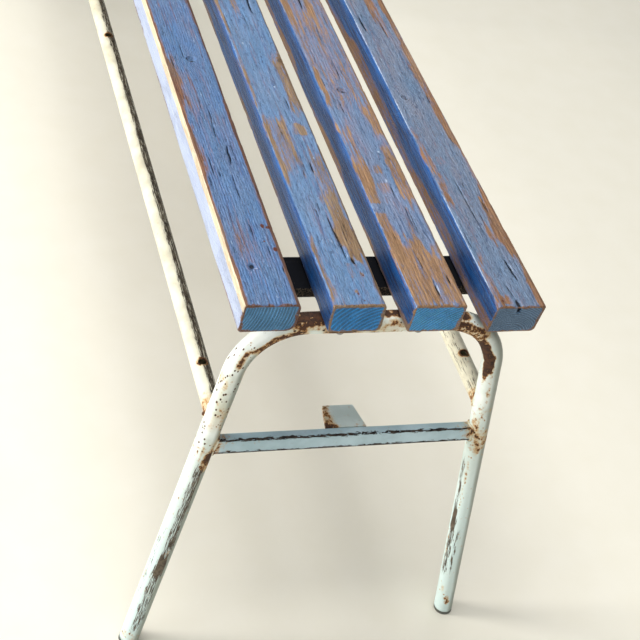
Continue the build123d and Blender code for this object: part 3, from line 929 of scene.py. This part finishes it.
def steel(
    name, light, shade, along_layer=False, scuffs=None, stains=None, low_tint=None, gloss=0.36, shine=0.5,
    bared=DARK_METAL,
):
    """Old paint on steel, with rust that breaks through it and scrapes down to dark metal.

    scuffs and stains make the amounts of scrape and rust, where the mesh has no layers of them."""
    f = Finish(name)
    place = f.layer("along", "Vector") if along_layer else f.place
    rust_layer = stains(f) if stains else f.layer("rust")
    scrape_layer = scuffs(f) if scuffs else f.layer("scrape")
    broad = f.cloud(0.03, 3, 0.55)
    fine = f.cloud(0.0048, 4, 0.7)
    grit = f.cloud(0.0009, 2, 0.6)
    streak = f.cloud((0.016, 0.0010, 0.0010), 4, 0.65, vector=place)
    paint = f.blend(f.step(broad, 0.32, 0.68), light, shade)
    paint = f.blend(f.step(fine, 0.55, 0.8, 0.0, 0.35), paint, toned(shade, 0.62))
    if low_tint:  # the legs grow bluer towards the floor
        paint = f.blend(f.step(f.split(f.place)[2], 0.33, 0.12), paint, f.blend(broad, low_tint, shade))
    # painted shade: the side of a tube that faces right is blended towards dark olive
    paint = f.blend(f.times(f.layer("painted_side_shade"), 0.74), paint, srgb(106, 110, 90))
    speck = f.step(f.cells((0.0056, 0.0041, 0.0041), vector=place), 0.17, 0.27, 0.95, 0.0)
    speck = f.times(speck, f.layer("pits"))
    eaten = f.stir(rust_layer, fine, 1.35)
    eaten = f.stir(eaten, broad, 0.3)
    eaten = f.plus(eaten, f.times(speck, f.step(broad, 0.32, 0.5)))
    halo = f.step(eaten, 0.16, 0.38)
    rusty = f.step(eaten, 0.33, 0.42)
    scuffed = f.stir(scrape_layer, streak, 1.9)
    scuffed = f.step(scuffed, 0.42, 0.52)
    orange = f.blend(f.step(grit, 0.3, 0.7), srgb(186, 128, 62), srgb(120, 78, 38))
    brown = f.blend(f.step(fine, 0.35, 0.65), srgb(34, 21, 14), srgb(84, 52, 30))
    rust = f.blend(f.step(eaten, 0.38, 0.5), orange, brown)
    dingy = f.stir(rust_layer, broad, 0.5)
    dingy = f.plus(dingy, f.times(f.layer("pits"), 0.15))
    dingy = f.step(dingy, 0.16, 0.42, 0.0, 0.6)
    paint = f.blend(dingy, paint, srgb(206, 182, 132))
    colour = f.blend(f.times(halo, 0.75), paint, srgb(188, 146, 88))
    colour = f.blend(scuffed, colour, f.blend(f.step(fine, 0.35, 0.65), *bared))
    colour = f.blend(rusty, colour, rust)
    rough = f.step(f.math("MAXIMUM", rusty, f.times(scuffed, 0.4)), 0.0, 1.0, gloss, 0.88)
    rough = f.stir(rough, fine, 0.22, clamp=True)
    scale = f.times(grit, f.step(rusty, 0, 1, 0.06, 0.5))
    height = f.plus(f.times(fine, 0.16), scale)
    height = f.math("SUBTRACT", height, f.times(f.math("MAXIMUM", rusty, scuffed), 0.55))
    f.bump(height, 0.00035, 0.9)
    metal = f.times(scuffed, f.times(f.math("SUBTRACT", 1.0, rusty), 0.45))
    return f.finish(colour, rough, metal, shine)


def leg_line(end, side, height):
    """A point on a leg's centre line at that height, and the leg's direction, both in millimetres."""
    top = np.array((end * TOP_X, side * SHOULDER_Y, TOP_Z), float)
    foot = np.array((end * FOOT_X, side * FOOT_Y, 0), float)
    direction = (top - foot) / np.linalg.norm(top - foot)
    return foot + direction * (height / direction[2]), direction


def weld_ring(name, outline_points, way, leg_point, leg_way, thick, seed, material):
    """A bead of weld where a bar, given by the points of its outline, runs onto a leg."""
    q = outline_points - leg_point
    perp_q = q - (q @ leg_way)[:, None] * leg_way
    perp_e = way - (way @ leg_way) * leg_way
    a = perp_e @ perp_e
    b = 2 * (perp_q @ perp_e)
    c = (perp_q**2).sum(1) - TUBE_R**2
    reach = (-b + np.sqrt(np.maximum(b * b - 4 * a * c, 0))) / (2 * a)
    path = outline_points + reach[:, None] * way
    middle = path.mean(0)
    count = len(path)
    ahead = np.roll(path, -1, axis=0) - np.roll(path, 1, axis=0)
    ahead /= np.linalg.norm(ahead, axis=1)[:, None]
    away = path - middle
    away -= (away * ahead).sum(1)[:, None] * ahead
    away /= np.linalg.norm(away, axis=1)[:, None]
    third = np.cross(ahead, away)
    turns = np.linspace(0, 2 * pi, WELD_SIDES, endpoint=False)
    k = np.arange(count)
    ripple = 1 + 0.10 * np.sin(k * 2 * pi / 5.0) + 0.45 * (noise(k / 6.0, np.zeros(count), seed) - HALF)
    size = thick * ripple
    points = path[:, None] + size[:, None, None] * (
        away[:, None] * np.cos(turns)[None, :, None] + third[:, None] * np.sin(turns)[None, :, None]
    )
    faces = []
    for r in range(count):
        for m in range(WELD_SIDES):
            a0, a1 = r * WELD_SIDES, ((r + 1) % count) * WELD_SIDES
            n = (m + 1) % WELD_SIDES
            faces.append((a0 + m, a0 + n, a1 + n, a1 + m))
    blotch = noise(np.repeat(k, WELD_SIDES) / 9.0, np.tile(turns, count), seed + 5)
    rust = 0.18 + 0.35 * smooth(blotch, 0.35, 0.8)
    piece = make_piece(name, points.reshape(-1, 3) * MM, faces, material, {"rust": rust})
    fix_normals(piece)


def rounded_bar(high, deep, radius, count):
    """Outline of the stretcher's section as (depth, height) pairs."""
    out = []
    for sx, sz, first in ((1, 1, 0), (-1, 1, 90), (-1, -1, 180), (1, -1, 270)):
        for turn in np.radians(np.linspace(first, first + 90, 5)):
            depth = sx * (deep / 2 - radius) + radius * cos(turn)
            out.append((depth, sz * (high / 2 - radius) + radius * sin(turn)))
    return resample(np.array(out + out[:1]), count)[:-1]


def build_welds(material):
    """A bead at each end of both rails and both stretchers."""
    for end, end_word in ((-1, "near"), (1, "far")):
        for side, side_word in ((1, "left"), (-1, "right")):
            seed = 400 + 10 * (end + 1) + 3 * (side + 1)
            point, way = leg_line(end, side, RAIL_Z)
            count, thick = RAIL_BEAD
            turns = np.linspace(0, 2 * pi, count, endpoint=False)
            ring = point + RAIL_R * np.stack((0 * turns, np.cos(turns), np.sin(turns)), 1)
            inward = np.array((-end, 0.0, 0.0))
            weld_ring(f"rail_weld_{end_word}_{side_word}", ring, inward, point, way, thick, seed, material)
            point, way = leg_line(end, side, STRETCHER_Z)
            count, thick = STRETCHER_BEAD
            shape = rounded_bar(STRETCHER_HIGH, STRETCHER_DEEP, STRETCHER_ROUND, count)
            up = np.array((end * (TOP_X - FOOT_X), 0, TOP_Z), float)
            up /= np.linalg.norm(up)
            deep = np.array((up[2], 0, -up[0]))
            bar = point + shape[:, :1] * deep + shape[:, 1:] * up
            inward = np.array((0.0, -side, 0.0))
            name = f"stretcher_weld_{end_word}_{side_word}"
            weld_ring(name, bar, inward, point, way, thick, seed + 1, material)


# ---------------------------------------------------------------- the bench

# Colours for slats 1 to 4.
SLAT_COLOURS = {
    "blue": ((70, 116, 168), (92, 136, 182), (100, 132, 172), (96, 122, 150)),
    "deep_blue": ((38, 72, 126), (52, 90, 142), (64, 92, 134), (54, 78, 110)),
    "violet": ((94, 118, 160), (112, 140, 176), (132, 138, 164), (130, 130, 142)),
    "tan": ((146, 102, 74), (170, 142, 108), (186, 146, 106), (172, 128, 88)),
    "umber": ((96, 60, 42), (118, 86, 58), (134, 98, 68), (118, 80, 54)),
    "end_blue": ((82, 146, 194), (28, 134, 206), (66, 160, 230), (98, 130, 162)),
    "blister_and_highlight_blue": ((186, 198, 226), (204, 224, 244), (204, 224, 244), (206, 222, 240)),
}
slat_paints = {
    number: timber(number, **{key: srgb(*colours[number - 1]) for key, colours in SLAT_COLOURS.items()})
    for number in SLATS
}
for slat_number, slat_paint in slat_paints.items():
    build_slat(slat_number, slat_paint)

hoop_paint = steel(
    "hoop_paint_worn",
    srgb(238, 243, 236),
    srgb(208, 220, 212),
    along_layer=True,
    low_tint=srgb(206, 230, 230),
)
for hoop_name, hoop_end in (("end_hoop_near", -1), ("end_hoop_far", 1)):
    build_hoop(hoop_name, hoop_end, hoop_paint)
weld_paint = steel("weld_paint_worn", srgb(228, 226, 204), srgb(198, 194, 172))
build_welds(weld_paint)


def repaint(material, *names):
    """Gives CAD nodes a new material."""
    for name in names:
        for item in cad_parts[name].material_slots:
            item.material = material


def gap_to(f, *pairs):
    """Distance from a place in a section, given as pairs of a coordinate and its value there."""
    total = 0.0
    for value, at in pairs:
        off = f.math("SUBTRACT", value, at)
        total = f.plus(total, f.times(off, off))
    return f.math("SQRT", total)


def rail_stains(f):
    """Rust round the drilled holes and at the welds."""
    x, y, z = f.split(f.place)
    far_x = f.math("ABSOLUTE", x)
    hole_x = f.math("MINIMUM", far_x, f.math("ABSOLUTE", f.math("SUBTRACT", far_x, HOLE_X * MM)))
    gap = gap_to(f, (hole_x, 0.0), (f.math("ABSOLUTE", y), RAIL_Y * MM))
    ring = f.step(gap, 0.0042, 0.0078, 0.5, 0.0)
    weld = f.step(far_x, 0.575, 0.596, 0.0, 0.34)
    return f.plus(ring, weld)


def rail_scuffs_and_shade(f):
    """A dirty, rubbed band along the upper inner side, under the gap between the slats, which is also a
    painted shade from the slat above; the right rail gets half of it.
    """
    x, y, z = f.split(f.place)
    # partly painted shade: the band also stands in for the slat's shade on the rail
    inward = f.math("SUBTRACT", RAIL_Y * MM, f.math("ABSOLUTE", y))
    band_up = f.step(z, RAIL_Z * MM - 0.003, RAIL_Z * MM + 0.001)
    band_in = f.step(inward, -0.0040, 0.0016, 0.0, 0.62)
    left_only = f.step(y, 0.0, 0.01, 0.5, 1.0)
    return f.times(f.times(band_up, band_in), left_only)


def bar_section(f):
    """Depth outwards and height of a place in the leaning section of either stretcher."""
    x, y, z = f.split(f.place)
    out = f.math("SUBTRACT", f.math("ABSOLUTE", x), STRETCHER_X * MM)
    rise = f.math("SUBTRACT", z, STRETCHER_Z * MM)
    lean = (FOOT_X - TOP_X) / TOP_Z
    depth = f.plus(out, f.times(rise, lean))
    height = f.math("SUBTRACT", rise, f.times(out, lean))
    return depth, height, y


def stretcher_scuffs(f):
    """Paint worn off along the upper and lower outer arrises in broken dashes."""
    depth, height, y = bar_section(f)
    face = STRETCHER_DEEP / 2 * MM
    edge = STRETCHER_HIGH / 2 * MM
    upper = gap_to(f, (depth, face), (height, edge - 0.0005))
    lower = gap_to(f, (depth, face), (height, -edge))
    dashes = f.cloud((0.0022, 0.008, 0.0012), 4, 0.65, seed=8.0)
    runs = f.step(f.cloud((0.05, 0.045, 0.05), 2, 0.5, seed=9.0), 0.32, 0.44)
    ragged = 0.010
    upper = f.times(f.step(f.stir(upper, dashes, ragged), 0.0009, 0.0021, 1.2, 0.0), runs)
    lower = f.step(f.stir(lower, dashes, ragged), 0.0020, 0.0036, 1.1, 0.0)
    return f.math("MAXIMUM", upper, lower)


def stretcher_stains(f):
    """Rust creeping along from the welds."""
    depth, height, y = bar_section(f)
    return f.step(f.math("ABSOLUTE", y), 0.108, 0.132, 0.0, 0.34)


def lug_stains(f):
    """Rust along the left edge and along the weld."""
    x, y, z = f.split(f.place)
    corner = f.step(y, 0.0030, 0.0150, 0.0, 0.37)
    root = f.step(f.math("ABSOLUTE", x), 0.596, 0.603, 0.0, 0.18)
    return f.plus(corner, root)


def no_stains(f):
    """Keeps a part clean of rust, which takes a positive amount."""
    return -0.3


def strap_scuffs(f):
    """Bare steel along the folded edges."""
    x, y, z = f.split(f.place)
    far_x = f.math("ABSOLUTE", x)
    middle = f.math("MINIMUM", far_x, f.math("ABSOLUTE", f.math("SUBTRACT", far_x, HOLE_X * MM)))
    edge = f.math("ABSOLUTE", f.math("SUBTRACT", middle, STRAP_EDGE * MM))
    crease = f.math("ABSOLUTE", f.math("SUBTRACT", middle, STRAP_CREASE * MM))
    at_crease = f.step(crease, 0.0002, 0.0007, 0.32, 0.0)
    return f.plus(f.step(edge, 0.0003, 0.0014, 0.45, 0.0), at_crease)


rail_paint = steel(
    "rail_paint_worn",
    srgb(232, 228, 204),
    srgb(196, 190, 166),
    scuffs=rail_scuffs_and_shade,
    stains=rail_stains,
    bared=(srgb(58, 49, 38), srgb(112, 102, 84)),
)
repaint(rail_paint, "rail_left", "rail_right")
stretcher_paint = steel(
    "stretcher_paint_worn",
    srgb(184, 208, 216),
    srgb(160, 186, 194),
    scuffs=stretcher_scuffs,
    stains=stretcher_stains,
    bared=(srgb(24, 20, 19), srgb(70, 60, 52)),
)
repaint(stretcher_paint, "stretcher_near", "stretcher_far")
lug_paint = steel("lug_paint_worn", srgb(216, 230, 228), srgb(190, 206, 202), stains=lug_stains)
repaint(lug_paint, "stretcher_lug_near", "stretcher_lug_far")
# painted shade: the straps' near-black paint with little shine also stands in for the deep shade under the
# slats
strap_paint = steel(
    "strap_paint_and_shade",
    srgb(5, 7, 13),
    srgb(2, 3, 7),
    scuffs=strap_scuffs,
    stains=no_stains,
    gloss=0.75,
    shine=0.12,
)
repaint(strap_paint, "cross_strap_near", "cross_strap_middle", "cross_strap_far")
screw_finish = steel("screw_steel_worn", srgb(150, 148, 144), srgb(120, 118, 114))
repaint(screw_finish, *[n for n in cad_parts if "screws" in n])
foot_finish = steel("foot_plastic_worn", srgb(92, 94, 86), srgb(60, 62, 58), stains=no_stains, gloss=0.6)
repaint(foot_finish, *[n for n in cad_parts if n.startswith("foot_plug")])


# ---------------------------------------------------------------- studio

floor_finish = Finish("studio_floor")
floor_grain = floor_finish.cloud(0.05, 3, 0.5)
floor_finish.finish(floor_finish.blend(floor_grain, srgb(238, 234, 220), srgb(232, 227, 209)), 0.85)
floor_mesh = bpy.data.meshes.new("floor")
SPAN = 12  # half the floor's width
floor_corners = [(-SPAN, -SPAN, 0), (SPAN, -SPAN, 0), (SPAN, SPAN, 0), (-SPAN, SPAN, 0)]
floor_mesh.from_pydata(floor_corners, [], [(0, 1, 2, 3)])
floor_mesh.materials.append(floor_finish.material)
floor = bpy.data.objects.new("floor", floor_mesh)
bpy.context.collection.objects.link(floor)


def soft_light(name, place, target, size, power, colour=(1, 1, 1)):
    """A square area light at place that faces target. Sizes are in metres and power is in watts."""
    data = bpy.data.lights.new(name, "AREA")
    data.shape = "SQUARE"
    data.size = size
    data.energy = power
    data.color = colour
    lamp = bpy.data.objects.new(name, data)
    lamp.location = place
    lamp.rotation_euler = (Vector(target) - Vector(place)).to_track_quat("-Z", "Y").to_euler()
    bpy.context.collection.objects.link(lamp)


soft_light("key", (0.3, 3.3, 1.15), (-0.3, 0, 0.42), 1.0, 116, (1.0, 0.98, 0.96))
soft_light("top", (-0.1, 0.5, 3.2), (-0.2, 0, 0.3), 2.0, 84)
soft_light("front", (-3.0, 1.3, 1.0), (-0.5, 0, 0.3), 1.4, 20)
world = bpy.data.worlds.new("studio")
world.use_nodes = True
background = world.node_tree.nodes["Background"]
background.inputs["Color"].default_value = (0.93, 0.96, 1.0, 1)
background.inputs["Strength"].default_value = 0.27
scene = bpy.context.scene
scene.world = world
scene.view_settings.view_transform = "Standard"

# ---------------------------------------------------------------- camera

CAMERA_PLACE = (-1.446, 0.481, 1.238)
CAMERA_TURN, CAMERA_DOWN, CAMERA_ROLL = radians(-26.6), radians(40.9), radians(16.82)
SENSOR_WIDTH, LENS = 36, 80.75  # millimetres
CLIP_END = 60
flat = cos(CAMERA_DOWN)
forward = Vector((flat * cos(CAMERA_TURN), flat * sin(CAMERA_TURN), -sin(CAMERA_DOWN)))
level = forward.cross(Vector((0, 0, 1))).normalized()
upright = level.cross(forward)
rolled_level = level * cos(CAMERA_ROLL) + upright * sin(CAMERA_ROLL)
rolled_up = upright * cos(CAMERA_ROLL) - level * sin(CAMERA_ROLL)
stand = Matrix((rolled_level, rolled_up, -forward)).transposed().to_4x4()
stand.translation = Vector(CAMERA_PLACE)
camera_data = bpy.data.cameras.new("camera")
camera_data.sensor_width = SENSOR_WIDTH
camera_data.lens = LENS
camera_data.clip_end = CLIP_END
camera = bpy.data.objects.new("camera", camera_data)
camera.matrix_world = stand
bpy.context.collection.objects.link(camera)
scene.camera = camera
